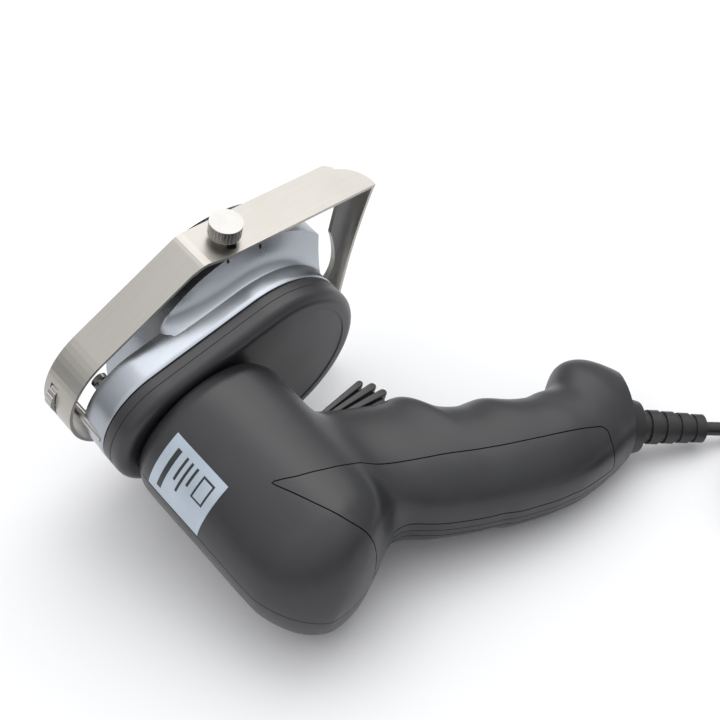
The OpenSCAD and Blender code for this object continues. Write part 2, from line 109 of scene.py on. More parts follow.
# ---- materials ----
class Mat:
    """A small helper round one node material."""

    def __init__(self, name, color, rough, metal=0.0, spec=0.5):
        self.mat = bpy.data.materials.new(name)
        self.mat.use_nodes = True
        self.tree = self.mat.node_tree
        self.bsdf = self.tree.nodes["Principled BSDF"]
        self.bsdf.inputs["Base Color"].default_value = (*color, 1)
        self.bsdf.inputs["Roughness"].default_value = rough
        self.bsdf.inputs["Metallic"].default_value = metal
        self.bsdf.inputs["Specular IOR Level"].default_value = spec
        self.coord = self.node("ShaderNodeTexCoord")
        self.bump_from = None

    def node(self, kind, **values):
        n = self.tree.nodes.new(kind)
        for k, v in values.items():
            setattr(n, k, v)
        return n

    def link(self, a, b):
        self.tree.links.new(a, b)

    def along(self, scales):
        """Object coordinates measured on the tool axes, scaled per axis."""
        out = self.node("ShaderNodeCombineXYZ")
        for k, (axis, s) in enumerate(zip((AX, AY, AZ), scales)):
            dot = self.node("ShaderNodeVectorMath", operation="DOT_PRODUCT")
            dot.inputs[1].default_value = axis * s
            self.link(self.coord.outputs["Object"], dot.inputs[0])
            self.link(dot.outputs["Value"], out.inputs[k])
        return out.outputs[0]

    def noise(self, scale, detail=2.0, vector=None, rough=0.5):
        n = self.node("ShaderNodeTexNoise")
        n.inputs["Scale"].default_value = scale
        n.inputs["Detail"].default_value = detail
        n.inputs["Roughness"].default_value = rough
        self.link(vector if vector else self.coord.outputs["Object"], n.inputs["Vector"])
        return n.outputs["Fac"]

    def ramp(self, fac, stops):
        r = self.node("ShaderNodeValToRGB")
        while len(r.color_ramp.elements) < len(stops):
            r.color_ramp.elements.new(0.5)
        for e, (p, c) in zip(r.color_ramp.elements, stops):
            e.position = p
            e.color = (c, c, c, 1) if isinstance(c, (int, float)) else (*c, 1)
        self.link(fac, r.inputs[0])
        return r.outputs[0]

    def color(self, socket):
        self.link(socket, self.bsdf.inputs["Base Color"])

    def rough(self, socket):
        self.link(socket, self.bsdf.inputs["Roughness"])

    def bump(self, height, strength, distance):
        b = self.node("ShaderNodeBump")
        b.inputs["Strength"].default_value = strength
        b.inputs["Distance"].default_value = distance
        self.link(height, b.inputs["Height"])
        if self.bump_from:
            self.link(self.bump_from, b.inputs["Normal"])
        self.bump_from = b.outputs[0]
        self.link(self.bump_from, self.bsdf.inputs["Normal"])
        return self


def plastic(name, color, rough, grain=2600, depth=0.00005, strength=0.35):
    """Moulded plastic with a fine spark texture and soft cloudy gloss."""
    m = Mat(name, color, rough, 0.0, 0.62)
    soft = m.noise(38, 3)
    fine = m.noise(grain, 3)
    lo = tuple(c * 0.8 for c in color)
    hi = tuple(c * 1.25 + 0.003 for c in color)
    m.color(m.ramp(soft, [(0.3, lo), (0.7, hi)]))
    m.rough(m.ramp(soft, [(0.25, rough - 0.06), (0.75, rough + 0.07)]))
    m.bump(fine, strength, depth)
    return m.mat


def brushed(name, color, rough, scales, depth=0.00003, strength=0.3):
    """Metal with fine lines; scales are the noise scales along the tool axes."""
    m = Mat(name, color, rough, 1.0)
    lines = m.noise(1.0, 4, m.along(scales), 0.6)
    cloud = m.noise(26, 3)
    m.color(m.ramp(lines, [(0.25, tuple(c * 0.86 for c in color)), (0.75, color)]))
    m.rough(m.ramp(cloud, [(0.25, rough - 0.05), (0.75, rough + 0.08)]))
    m.bump(lines, strength, depth)
    m.bsdf.inputs["Anisotropic"].default_value = 0.35
    return m.mat


def metal(name, color, rough, scale=60, depth=0.00006, strength=0.25):
    """Turned, pressed or cast metal with cloudy gloss and slight waviness."""
    m = Mat(name, color, rough, 1.0)
    cloud = m.noise(scale, 4)
    fine = m.noise(1500, 2)
    m.color(m.ramp(cloud, [(0.2, tuple(c * 0.85 for c in color)), (0.8, color)]))
    m.rough(m.ramp(cloud, [(0.25, max(0.04, rough - 0.06)), (0.75, rough + 0.08)]))
    m.bump(cloud, strength, depth * 4)
    m.bump(fine, strength * 0.3, depth * 0.3)
    return m.mat


# Printed bars of the label in the tool's x and y, in millimetres: (x0, x1, y0, y1).
LABEL_BARS = [(-65.2, -62.8, -21, -4), (-69.4, -68.2, -21, -12), (-72.4, -71.2, -21, -9),
              (-75.4, -74.2, -21, -14)]
# An empty box of four more bars.
LABEL_BARS += [(-84.8, -83.9, -21, -12.5), (-79.2, -78.3, -21, -12.5),
               (-84.8, -78.3, -21, -20.3), (-84.8, -78.3, -13.2, -12.5)]
LABEL_INK = (0.035, 0.037, 0.04, 1)


def printed_film():
    """Pale silver film with a few plain bars and an empty box, and no lettering."""
    m = Mat("printed_film", (0.46, 0.53, 0.6), 0.32, 0.25)
    parts = m.node("ShaderNodeSeparateXYZ")
    per_mm = 1 / MM
    m.link(m.along((per_mm, per_mm, per_mm)), parts.inputs[0])
    origin = [AO.dot(a) * per_mm for a in (AX, AY)]

    def combine(a, b, op="MULTIPLY"):
        n = m.node("ShaderNodeMath", operation=op)
        m.link(a, n.inputs[0])
        m.link(b, n.inputs[1])
        return n.outputs[0]

    def band(axis, lo, hi):
        """1 between two tool positions along one axis."""
        out = []
        for op, edge in (("GREATER_THAN", lo), ("LESS_THAN", hi)):
            n = m.node("ShaderNodeMath", operation=op)
            n.inputs[1].default_value = edge + origin[axis]
            m.link(parts.outputs[axis], n.inputs[0])
            out.append(n.outputs[0])
        return combine(*out)

    ink = None
    for x0, x1, y0, y1 in LABEL_BARS:
        bar = combine(band(0, x0, x1), band(1, y0, y1))
        ink = bar if ink is None else combine(ink, bar, "MAXIMUM")
    pale = m.ramp(m.noise(60, 2), [(0.3, (0.42, 0.49, 0.56)), (0.7, (0.5, 0.57, 0.64))])
    # An RGBA mix has its colours on inputs 6 and 7 and on output 2.
    mix = m.node("ShaderNodeMix", data_type="RGBA")
    m.link(ink, mix.inputs[0])
    m.link(pale, mix.inputs[6])
    mix.inputs[7].default_value = LABEL_INK
    m.color(mix.outputs[2])
    m.bump(m.noise(700, 2), 0.08, 0.00001)
    return m.mat


M = {
    "steel": metal("turned_steel", (0.5, 0.49, 0.47), 0.24, 200),
    "blade_steel": brushed("ground_blade", (0.66, 0.66, 0.66), 0.2, (300, 300, 300)),
    "guard_steel": brushed("brushed_guard", (0.47, 0.45, 0.415), 0.33, (5200, 60, 60)),
    "cast": metal("satin_casting", (0.4, 0.425, 0.46), 0.27, 45, 0.00012, 0.5),
    "black_plastic": plastic("spark_plastic", (0.015, 0.0152, 0.017), 0.36, 2600, 0.00009, 0.5),
    "panel_plastic": plastic("satin_plastic", (0.016, 0.0163, 0.018), 0.34, 3200, 0.00006, 0.4),
    "trigger_plastic": plastic("gloss_plastic", (0.006, 0.006, 0.0065), 0.2, 900, 0.00001, 0.1),
    "inner_plastic": plastic("moulded_plastic", (0.06, 0.06, 0.07), 0.5),
    "winding": brushed("copper_winding", (0.62, 0.3, 0.14), 0.35, (1500, 300, 300)),
    "brass": metal("pressed_brass", (0.78, 0.6, 0.3), 0.3, 90),
    "laminate": brushed("laminations", (0.16, 0.16, 0.18), 0.45, (1400, 40, 40)),
    "carbon": plastic("carbon_block", (0.05, 0.05, 0.05), 0.6, 1800),
    "label": printed_film(),
    "lead": plastic("lead_sheath", (0.008, 0.008, 0.009), 0.36, 1200, 0.00002, 0.2),
    "relief": plastic("relief_rubber", (0.009, 0.009, 0.01), 0.45, 1500, 0.00003, 0.25),
    "pin_metal": metal("nickel_pins", (0.8, 0.78, 0.72), 0.2, 160),
}
SLOT = {s["node"]: s["material_slot"] for s in frame["record"]["subparts"]}


def give(obj, key):
    """Gives an object one of the materials."""
    obj.data.materials.clear()
    obj.data.materials.append(M[key])


for node_name, node_obj in NODES.items():
    give(node_obj, SLOT[node_name])


# ---- mesh helpers ----
def add_piece(name, mesh, body, key, stands=(), tool=True):
    """Links a mesh as one piece riding on a body. tool=True brings it from the tool frame."""
    if tool:
        mesh.transform(TOOL)
    mesh.update()
    obj = bpy.data.objects.new(name, mesh)
    bpy.context.scene.collection.objects.link(obj)
    give(obj, key)
    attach(obj, body)
    if stands:
        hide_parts(*stands)
    return obj


def bm_of(verts, faces):
    """A bmesh of the vertices and faces, with its faces turned outwards."""
    bm = bmesh.new()
    vs = [bm.verts.new(tuple(map(float, v))) for v in verts]
    for f in faces:
        bm.faces.new([vs[i] for i in f])
    bmesh.ops.recalc_face_normals(bm, faces=bm.faces)
    return bm


def mesh_from(name, bm):
    """Turns a bmesh into a mesh and frees it."""
    mesh = bpy.data.meshes.new(name)
    bm.to_mesh(mesh)
    bm.free()
    return mesh


def shade(mesh, angle):
    """Smooth shading, with edges sharper than an angle in degrees left sharp."""
    mesh.shade_smooth()
    mesh.set_sharp_from_angle(angle=math.radians(angle))
    return mesh


def bm_piece(name, bm, body, key, stands=(), angle=35):
    """A piece of a bmesh made in the tool frame."""
    bmesh.ops.recalc_face_normals(bm, faces=bm.faces)
    return add_piece(name, shade(mesh_from(name, bm), angle), body, key, stands)


def loft(rings):
    """Vertices and faces of closed rings joined one to the next, with both ends capped."""
    n = len(rings[0])
    verts = [p for r in rings for p in r]
    faces = []
    for k in range(len(rings) - 1):
        for i in range(n):
            j = (i + 1) % n
            faces.append((k * n + i, k * n + j, (k + 1) * n + j, (k + 1) * n + i))
    faces.append(tuple(range(n - 1, -1, -1)))
    faces.append(tuple((len(rings) - 1) * n + i for i in range(n)))
    return verts, faces


def with_modifiers(mesh, mods):
    """Runs modifiers on a mesh and returns the finished mesh."""
    obj = bpy.data.objects.new("work", mesh)
    bpy.context.scene.collection.objects.link(obj)
    for kind, values in mods:
        mod = obj.modifiers.new(kind.lower(), kind)
        for k, v in values.items():
            setattr(mod, k, v)
    bpy.context.view_layer.update()
    graph = bpy.context.evaluated_depsgraph_get()
    out = bpy.data.meshes.new_from_object(obj.evaluated_get(graph))
    bpy.data.objects.remove(obj)
    return out


def catmull(rows, steps):
    """Smooth stations through the given rows."""
    rows = np.array(rows, float)
    out = []
    for k in range(len(rows) - 1):
        p0, p1, p2 = rows[max(k - 1, 0)], rows[k], rows[k + 1]
        p3 = rows[min(k + 2, len(rows) - 1)]
        for t in np.arange(steps) / steps:
            out.append(0.5 * (2 * p1 + (p2 - p0) * t + (2 * p0 - 5 * p1 + 4 * p2 - p3) * t * t
                              + (3 * p1 - p0 - 3 * p2 + p3) * t ** 3))
    out.append(rows[-1])
    return np.array(out)


# ---- mains lead: route in millimetres on the table, z up ----
CORD_D = 6
COIL_X, COIL_Y = 121, -153.6
COIL_OUTER = 44.6
COIL_TURN = 6.05
COIL_START = 55
COIL_LAYERS = 4
LOW_Z, HIGH_Z = 3.15, 9.2
CLIMB = 45
INWARD, OUTWARD = 360 * COIL_LAYERS, 1540
LEAD_ROUTE = [(108, -90.2, 9), (113.7, -94.2, 7.5), (119.4, -98.2, 6.2), (125.2, -102.2, 5.1),
              (130.9, -106.2, 4.2), (136.6, -110.2, 3.6), (141.7, -113.7, 3.3)]
TAIL_ROUTE = [(115, -199.9, 9.2), (109, -199.9, 9), (103, -199.9, 8.7), (97, -199.9, 8.4),
              (91, -199.9, 8.1), (86, -199.9, 8), (81, -199.9, 8)]


def cord_points():
    """Out of the relief, inwards on the table, up one layer, outwards, and to the plug."""
    inner = COIL_OUTER - COIL_LAYERS * COIL_TURN
    spiral = []
    for a in np.arange(0, INWARD + 0.1, 15):
        spiral.append((COIL_START - a, COIL_OUTER - COIL_TURN * a / 360, LOW_Z))
    for a in np.arange(9, CLIMB + 1, 9):
        t = a / CLIMB
        z = LOW_Z + (HIGH_Z - LOW_Z) * t * t * (3 - 2 * t)
        spiral.append((COIL_START - INWARD - a, inner, z))
    for a in np.arange(14, OUTWARD + 0.1, 14):
        spiral.append((COIL_START - INWARD - CLIMB - a, inner + COIL_TURN * a / 360, HIGH_Z))
    coil = []
    for a, r, z in spiral:
        turn = math.radians(a)
        coil.append((COIL_X + r * math.cos(turn), COIL_Y + r * math.sin(turn), z))
    return [Vector(p) * MM for p in LEAD_ROUTE + coil + TAIL_ROUTE]


def smooth_tube(name, points, diameter):
    """A round cord through the points."""
    cu = bpy.data.curves.new(name, "CURVE")
    cu.dimensions = "3D"
    sp = cu.splines.new("BEZIER")
    sp.bezier_points.add(len(points) - 1)
    for k, (bp, p) in enumerate(zip(sp.bezier_points, points)):
        bp.co = p
        a, b = points[max(k - 1, 0)], points[min(k + 1, len(points) - 1)]
        d = (b - a).normalized()
        bp.handle_left_type = bp.handle_right_type = "FREE"
        bp.handle_left = p - d * (p - a).length / 3
        bp.handle_right = p + d * (b - p).length / 3
    cu.bevel_depth = diameter / 2
    cu.bevel_resolution = 6
    cu.resolution_u = 4
    cu.use_fill_caps = True
    obj = bpy.data.objects.new(name, cu)
    bpy.context.scene.collection.objects.link(obj)
    give(obj, "lead")
    return obj


route = cord_points()
lead = smooth_tube("mains_lead", route, CORD_D * MM)
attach(lead, "frame")
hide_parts("lead_cord", "lead_tail", "lead_coil")

# ---- clamshell housing, in tool-frame millimetres ----
# Motor body stations: x, half width, low z, high z.
BODY = [(-46.6, 28, 15, 70), (-48, 30, 13, 73), (-52, 32.5, 11.4, 75.4), (-58, 34, 10, 76.5),
        (-88, 34, 10, 76.5), (-118, 34, 10, 76.5), (-127, 33, 13, 74.8), (-134, 30.5, 19, 71.5),
        (-139, 26, 27, 68), (-143, 19.5, 36, 64), (-145.5, 12, 45, 60.5), (-146.5, 6, 50, 58)]
# Share of a body section's height that lies below its widest line.
BODY_LOW = 0.45
# Roundness of the sections: 2 is an ellipse, more is squarer.
BODY_UP_POWER, BODY_DOWN_POWER, GRIP_POWER = 1.85, 2.5, 2.3
# Handle stations: z, front x, back x, half width.
GRIP = [(24, -62, -131, 25), (10, -70, -133, 22.5), (-4, -77, -142, 21.5), (-18, -83, -149, 21),
        (-28, -85, -153, 21), (-34, -95, -156, 21), (-43, -102, -159, 21), (-51, -104, -161.5, 21),
        (-56, -105.5, -162.5, 21), (-64, -112, -164, 21), (-72, -116.5, -164.5, 21),
        (-79, -117.5, -164.5, 20.5), (-88, -119.5, -164, 20), (-95, -115.5, -163, 19.5),
        (-102, -112.5, -162, 19), (-110, -115, -161, 17), (-117, -124, -160, 14)]
# Side outline of a handle panel in x and z.
PANEL = [(-99, 54.5), (-103.4, 46), (-107, 36), (-109.5, 25), (-110, 17), (-114.3, 5.5), (-120, -8),
         (-124.2, -18.4), (-133.4, -38), (-141.5, -59), (-149.3, -79), (-151, -82.5), (-153.5, -84),
         (-157, -83.2), (-174, -77), (-176, -20), (-140, 22), (-152, 32), (-150, 35), (-139, 37.4),
         (-129.4, 43), (-118, 47.8), (-108.6, 51.3)]
RELIEF_AT = Vector((-150, 0, -106))
BUTT_TILT = math.radians(36) - 0.05
SEAM = 0.17
WALL, PANEL_WALL = 1.7, 1.2
PANEL_EDGE_Y = 4.0
PANEL_GAP = 0.5
PANEL_DEPTH = 1.6
SLOT_W, SLOT_TOP, SLOT_END, SLOT_BACK = 7.1, 4.5, -29.6, -96
LABEL_X, LABEL_Y, LABEL_ABOVE_Z = (-88.5, -58.5), (-23.5, -0.9), 50
LABEL_LIFT, LABEL_T = 0.22, 0.18
VOXEL = 0.95
# How far past a segment's ends, and how far beside it, a cut looks for faces.
CUT_PAST, CUT_REACH = 0.9, 1.6
# Blend of handle and motor body: reach, middle height, half height and its fade.
FILLET_REACH, FILLET_Z, FILLET_HALF, FILLET_FADE = 22, 14, 26, 8
# The blend is weak in front of this x, and full this much further back.
FILLET_FRONT, FILLET_BACK, FILLET_LEAST = -74, 14, 0.12
FILLET_ROUNDS, FILLET_STEP = 240, 0.65
SETTLE_ROUNDS = 5
RING_POINTS = 72


def round_ring(n, wide, up, down, p_up, p_down):
    """Points of a rounded section: half width, half heights and corner powers."""
    a = np.arange(n) * 2 * math.pi / n
    c, s = np.cos(a), np.sin(a)
    p = np.where(s > 0, p_up, p_down)
    u = wide * np.sign(c) * np.abs(c) ** (2 / p)
    v = np.where(s > 0, up, down) * np.sign(s) * np.abs(s) ** (2 / p)
    return np.column_stack([u, v])


def body_rings():
    """Sections of the motor body from front to back."""
    rings = []
    for x, w, lo, hi in catmull(BODY, 5):
        up, down = (hi - lo) * (1 - BODY_LOW), (hi - lo) * BODY_LOW
        q = round_ring(RING_POINTS, w, up, down, BODY_UP_POWER, BODY_DOWN_POWER)
        rings.append([(x, u, lo + down + v) for u, v in q])
    return rings


def grip_rings():
    """Sections of the handle from top to butt."""
    rings = []
    for z, xf, xb, w in catmull(GRIP, 5):
        q = round_ring(RING_POINTS, (xf - xb) / 2, w, w, GRIP_POWER, GRIP_POWER)
        rings.append([((xf + xb) / 2 + u, v, z) for u, v in q])
    return rings


def between(rows, key, column, at):
    """One column of the stations, read at positions along the key column."""
    table = np.array(rows, float)[::-1]
    return np.interp(at, table[:, key], table[:, column])


def super_distance(u, v, half_u, half_v, power):
    """Roughly how far points are from a rounded section's edge, in millimetres."""
    f = ((np.abs(u) / half_u) ** power + (np.abs(v) / half_v) ** power) ** (1 / power) - 1
    return np.abs(f) * np.minimum(half_u, half_v)


def level(p):
    """Roughly how far points are from the motor body and from the handle."""
    x, y, z = p.T
    wide, lo, hi = [between(BODY, 0, k, x) for k in (1, 2, 3)]
    mid = lo + BODY_LOW * (hi - lo)
    above = z > mid
    half = np.where(above, 1 - BODY_LOW, BODY_LOW) * (hi - lo)
    power = np.where(above, BODY_UP_POWER, BODY_DOWN_POWER)
    body = super_distance(y, z - mid, wide, half, power)
    front, back, grip_w = [between(GRIP, 0, k, z) for k in (1, 2, 3)]
    grip = super_distance(x - (front + back) / 2, y, (front - back) / 2, grip_w, GRIP_POWER)
    return body, grip


def relax(mesh, weight, rounds, step=0.5):
    """Laplacian smoothing; weight gives each point's share, from 0 to 1."""
    n = len(mesh.vertices)
    co = np.empty(n * 3)
    mesh.vertices.foreach_get("co", co)
    co = co.reshape(-1, 3)
    ends = np.empty(len(mesh.edges) * 2, int)
    mesh.edges.foreach_get("vertices", ends)
    ends = ends.reshape(-1, 2)
    degree = np.bincount(ends.ravel(), minlength=n).astype(float)
    w = weight(co)
    for _ in range(rounds):
        total = np.column_stack([
            np.bincount(ends[:, 0], co[ends[:, 1], k], n) + np.bincount(ends[:, 1], co[ends[:, 0], k], n)
            for k in range(3)])
        co = co + (w * step)[:, None] * (total / degree[:, None] - co)
    mesh.vertices.foreach_set("co", co.ravel())
    mesh.update()


def fillet(co):
    """Weight of the blend where the handle meets the motor body."""
    body, grip = level(co)
    t = np.clip(1 - (body + grip) / FILLET_REACH, 0, 1)
    t = t * t * (3 - 2 * t)
    height = np.clip((FILLET_HALF - np.abs(co[:, 2] - FILLET_Z)) / FILLET_FADE, 0, 1)
    behind = np.clip((FILLET_FRONT - co[:, 0]) / FILLET_BACK, FILLET_LEAST, 1)
    return t * height * behind


def housing_skin():
    """Motor body and handle as one closed skin with a smooth blend."""
    skin = bmesh.new()
    for rings in (body_rings(), grip_rings()):
        part = mesh_from("part", bm_of(*loft(rings)))
        skin.from_mesh(part)
    remesh = {"mode": "VOXEL", "voxel_size": VOXEL, "use_smooth_shade": True}
    mesh = with_modifiers(mesh_from("housing", skin), [("REMESH", remesh)])
    relax(mesh, fillet, FILLET_ROUNDS, FILLET_STEP)
    relax(mesh, lambda co: np.ones(len(co)), SETTLE_ROUNDS)
    return mesh


def smooth_loop(pts, steps):
    """A closed smooth loop through the points."""
    p = np.array(pts, float)
    n, out = len(p), []
    for k in range(n):
        a, b, c, d = p[k - 1], p[k], p[(k + 1) % n], p[(k + 2) % n]
        m1, m2 = (c - a) * 0.35, (d - b) * 0.35
        for t in np.arange(steps) / steps:
            out.append((2 * t ** 3 - 3 * t * t + 1) * b + (t ** 3 - 2 * t * t + t) * m1
                       + (3 * t * t - 2 * t ** 3) * c + (t ** 3 - t * t) * m2)
    return np.array(out)


def inside(loop, x, z):
    """Which points lie inside a closed loop."""
    hit = np.zeros(len(x), bool)
    for (x1, z1), (x2, z2) in zip(loop, np.roll(loop, -1, 0)):
        cross = (z1 > z) != (z2 > z)
        if not cross.any():
            continue
        xi = x1 + (z - z1) * (x2 - x1) / (z2 - z1 + 1e-12)
        hit ^= cross & (x < xi)
    return hit


def cut_along(bm, loop, y_min):
    """Splits the skin along a closed x-z loop, wherever y is above y_min."""
    for a, b in zip(loop, np.roll(loop, -1, 0)):
        d = b - a
        size = float(np.linalg.norm(d))
        if size < 1e-6:
            continue
        u = d / size
        faces = bm.faces[:]
        c = np.array([tuple(f.calc_center_bounds()) for f in faces])
        s = (c[:, 0] - a[0]) * u[0] + (c[:, 2] - a[1]) * u[1]
        t = np.abs(-(c[:, 0] - a[0]) * u[1] + (c[:, 2] - a[1]) * u[0])
        near = (c[:, 1] > y_min) & (s > -CUT_PAST) & (s < size + CUT_PAST) & (t < CUT_REACH)
        geom = [f for f, n in zip(faces, near) if n]
        if not geom:
            continue
        edges = list(dict.fromkeys(e for f in geom for e in f.edges))
        verts = list(dict.fromkeys(v for f in geom for v in f.verts))
        bmesh.ops.bisect_plane(bm, geom=geom + edges + verts, dist=0.0005,
                               plane_co=(a[0], 0, a[1]), plane_no=(u[1], 0, -u[0]))


def split_all(bm, co, no, **more):
    """Cuts everything with a plane."""
    return bmesh.ops.bisect_plane(bm, geom=bm.verts[:] + bm.edges[:] + bm.faces[:], dist=0.001,
                                  plane_co=co, plane_no=no, **more)


def trimmed(skin):
    """The whole skin with the slanted butt face."""
    bm = bmesh.new()
    bm.from_mesh(skin)
    out = (-math.sin(BUTT_TILT), 0, -math.cos(BUTT_TILT))
    cut = split_all(bm, RELIEF_AT, out, clear_outer=True)
    edges = [e for e in cut["geom_cut"] if isinstance(e, bmesh.types.BMEdge)]
    bmesh.ops.contextual_create(bm, geom=edges)
    bmesh.ops.triangulate(bm, faces=[f for f in bm.faces if len(f.verts) > 8])
    return bm


def within(bm, loop, y_min):
    """Faces whose middle lies inside an x-z loop and above y_min."""
    cen = np.array([tuple(f.calc_center_median()) for f in bm.faces])
    hit = inside(loop, cen[:, 0], cen[:, 2]) & (cen[:, 1] > y_min)
    return [f for f, h in zip(bm.faces, hit) if h]


def inset_loop(loop, d):
    """The loop moved inwards by d."""
    ahead = np.roll(loop, -1, 0) - np.roll(loop, 1, 0)
    ahead /= np.linalg.norm(ahead, axis=1)[:, None]
    side = np.column_stack([-ahead[:, 1], ahead[:, 0]])
    area = np.sum(loop[:, 0] * np.roll(loop[:, 1], -1) - np.roll(loop[:, 0], -1) * loop[:, 1])
    return loop + side * d * (1 if area > 0 else -1)


def thick(name, bm, wall, angle):
    """A skin given a wall inwards."""
    solid = ("SOLIDIFY", {"thickness": wall, "offset": -1.0})
    return shade(with_modifiers(mesh_from(name, bm), [solid]), angle)


def shell_and_panel(skin):
    """Left half of the shell with its panel recess and trigger slot, and the panel."""
    bm = trimmed(skin)
    split_all(bm, (0, SEAM, 0), (0, 1, 0), clear_inner=True)
    loop = smooth_loop(PANEL, 4)
    panel = bm.copy()
    cut_along(bm, loop, 2.0)
    split_all(bm, (0, PANEL_EDGE_Y, 0), (0, 1, 0))
    split_all(bm, (0, SLOT_W, 0), (0, 1, 0))
    split_all(bm, (0, 0, SLOT_TOP), (0, 0, 1))
    split_all(bm, (0, 0, SLOT_END), (0, 0, 1))
    bm.normal_update()
    gone = []
    for f in bm.faces:
        c = f.calc_center_median()
        if c.y < SLOT_W and SLOT_END < c.z < SLOT_TOP and c.x > SLOT_BACK and f.normal.x > 0:
            gone.append(f)
    bmesh.ops.delete(bm, geom=gone, context="FACES")
    chosen = within(bm, loop, PANEL_EDGE_Y)

    inner = inset_loop(loop, PANEL_GAP)
    cut_along(panel, inner, 2.0)
    split_all(panel, (0, PANEL_EDGE_Y + PANEL_GAP, 0), (0, 1, 0))
    keep = set(within(panel, inner, PANEL_EDGE_Y + PANEL_GAP))
    bmesh.ops.delete(panel, geom=[f for f in panel.faces if f not in keep], context="FACES")

    normals = {v: v.normal.copy() for f in chosen for v in f.verts}
    where = {v: tuple(v.co) for v in normals}
    out = bmesh.ops.extrude_face_region(bm, geom=chosen)
    back = {where[v]: n for v, n in normals.items()}
    for g in out["geom"]:
        if isinstance(g, bmesh.types.BMVert):
            g.co -= back[tuple(g.co)] * PANEL_DEPTH
    bmesh.ops.delete(bm, geom=[f for f in chosen if f.is_valid], context="FACES")
    bmesh.ops.delete(bm, geom=[v for v in bm.verts if not v.link_faces], context="VERTS")
    bm.normal_update()
    return thick("shell", bm, WALL, 38), thick("panel", panel, PANEL_WALL, 38)


def mirrored(mesh):
    """The same part for the right side."""
    out = mesh.copy()
    out.transform(Matrix.Diagonal((1, -1, 1, 1)))
    out.flip_normals()
    return out


def label_mesh(skin):
    """Thin film that follows the right side of the motor body up to the seam."""
    bm = bmesh.new()
    bm.from_mesh(skin)
    edges = [((LABEL_X[1], 0, 0), (1, 0, 0)), ((LABEL_X[0], 0, 0), (-1, 0, 0)),
             ((0, LABEL_Y[1], 0), (0, 1, 0)), ((0, LABEL_Y[0], 0), (0, -1, 0)),
             ((0, 0, LABEL_ABOVE_Z), (0, 0, -1))]
    for co, no in edges:
        split_all(bm, co, no, clear_outer=True)
    bm.normal_update()
    for v in bm.verts:
        v.co += v.normal * LABEL_LIFT
    return thick("label", bm, LABEL_T, 40)


skin = housing_skin()
shell_me, panel_me = shell_and_panel(skin)
label_me = label_mesh(skin)
add_piece("shell_right", mirrored(shell_me), "frame", "black_plastic", ("housing_right",))
add_piece("panel_right", mirrored(panel_me), "frame", "panel_plastic", ("grip_panel_right",))
add_piece("shell_left", shell_me, "frame", "black_plastic", ("housing_left",))
add_piece("panel_left", panel_me, "frame", "panel_plastic", ("grip_panel_left",))
add_piece("blank_label", label_me, "frame", "label", ("rating_label",))

# ---- gear cover and casting, in tool-frame millimetres ----
CASE_R, TOP_R, TOP_Z = 42.5, 28, 52
HOOD_R, HOOD_WALL, HOOD_CUT = 54, 2.5, -38
COVER_CORNER = 4.6


def pear_ring(d):
    """Pear outline in y and z, shrunk by d, with the same number of points each time."""
    turn = math.asin((CASE_R - TOP_R) / TOP_Z)
    top = [(math.cos(a) * (TOP_R - d), TOP_Z + math.sin(a) * (TOP_R - d))
           for a in np.linspace(turn, math.pi - turn, 72)]
    low = [(math.cos(a) * (CASE_R - d), math.sin(a) * (CASE_R - d))
           for a in np.linspace(math.pi - turn, 2 * math.pi + turn, 110)]

    def side(a, b):
        a, b = np.array(a), np.array(b)
        return [tuple(a + (b - a) * t) for t in np.arange(1, 14) / 14]

    return np.array(top + side(top[-1], low[0]) + low + side(low[-1], top[0]))


def make_cover():
    """Black cover: a joint bead, a groove, a rounded rear edge and a sunk rear face."""
    steps = [(-34.12, 0.7), (-34.2, 0.35), (-34.5, 0.1), (-35, 0), (-38.3, 0), (-38.45, 0.25),
             (-38.75, 0.25), (-38.9, 0), (-41.2, 0)]
    for a in np.radians(np.arange(8, 91, 8.2)):
        steps.append((-41.4 - COVER_CORNER * math.sin(a), COVER_CORNER * (1 - math.cos(a))))
    steps += [(-46, 7), (-45.6, 7.6), (-45.6, 12)]
    rings = [[(x, y, z) for y, z in pear_ring(d)] for x, d in steps]
    bm_piece("gear_cover_shell", bm_of(*loft(rings)), "frame", "black_plastic", ("gear_cover",), 30)


def hood_rings():
    """The casting's flare and the round hood over the blade, from the back to the front."""
    base = pear_ring(0)
    radius = np.hypot(base[:, 0], base[:, 1])
    unit = base / radius[:, None]
    inner = np.minimum(radius - 0.6, HOOD_R)
    rings = []
    for t in np.linspace(0, 1, 14):
        r = inner + (HOOD_R - inner) * t ** 2.4
        rings.append([(-27.5 + 9.3 * t, *(u * k)) for u, k in zip(unit, r)])
    inside_r = HOOD_R - HOOD_WALL
    profile = [(-17.4, HOOD_R), (-10, HOOD_R), (-1.6, HOOD_R), (-0.9, HOOD_R + 0.25),
               (-0.3, HOOD_R + 0.2), (0, HOOD_R - 0.4), (0, HOOD_R - 2.1), (-0.4, inside_r),
               (-14, inside_r), (-17, HOOD_R - 5), (-18, HOOD_R - 9), (-18, 16), (-17, 15),
               (-17, 11.2), (-24, 11.2)]
    for x, r in profile:
        rings.append([(x, *(u * r)) for u in unit])
    return rings


def slot_cutters():
    """Four short slots in the sides of the flare."""
    cutters = bmesh.new()
    for s in (-1, 1):
        for z in (-3, 13):
            place = Matrix.Translation((-19.5, s * HOOD_R, z))
            bmesh.ops.create_cube(cutters, size=1, matrix=place @ Matrix.Diagonal((7, 7, 1.1, 1)))
    obj = bpy.data.objects.new("cutters", mesh_from("cutters", cutters))
    bpy.context.scene.collection.objects.link(obj)
    return obj


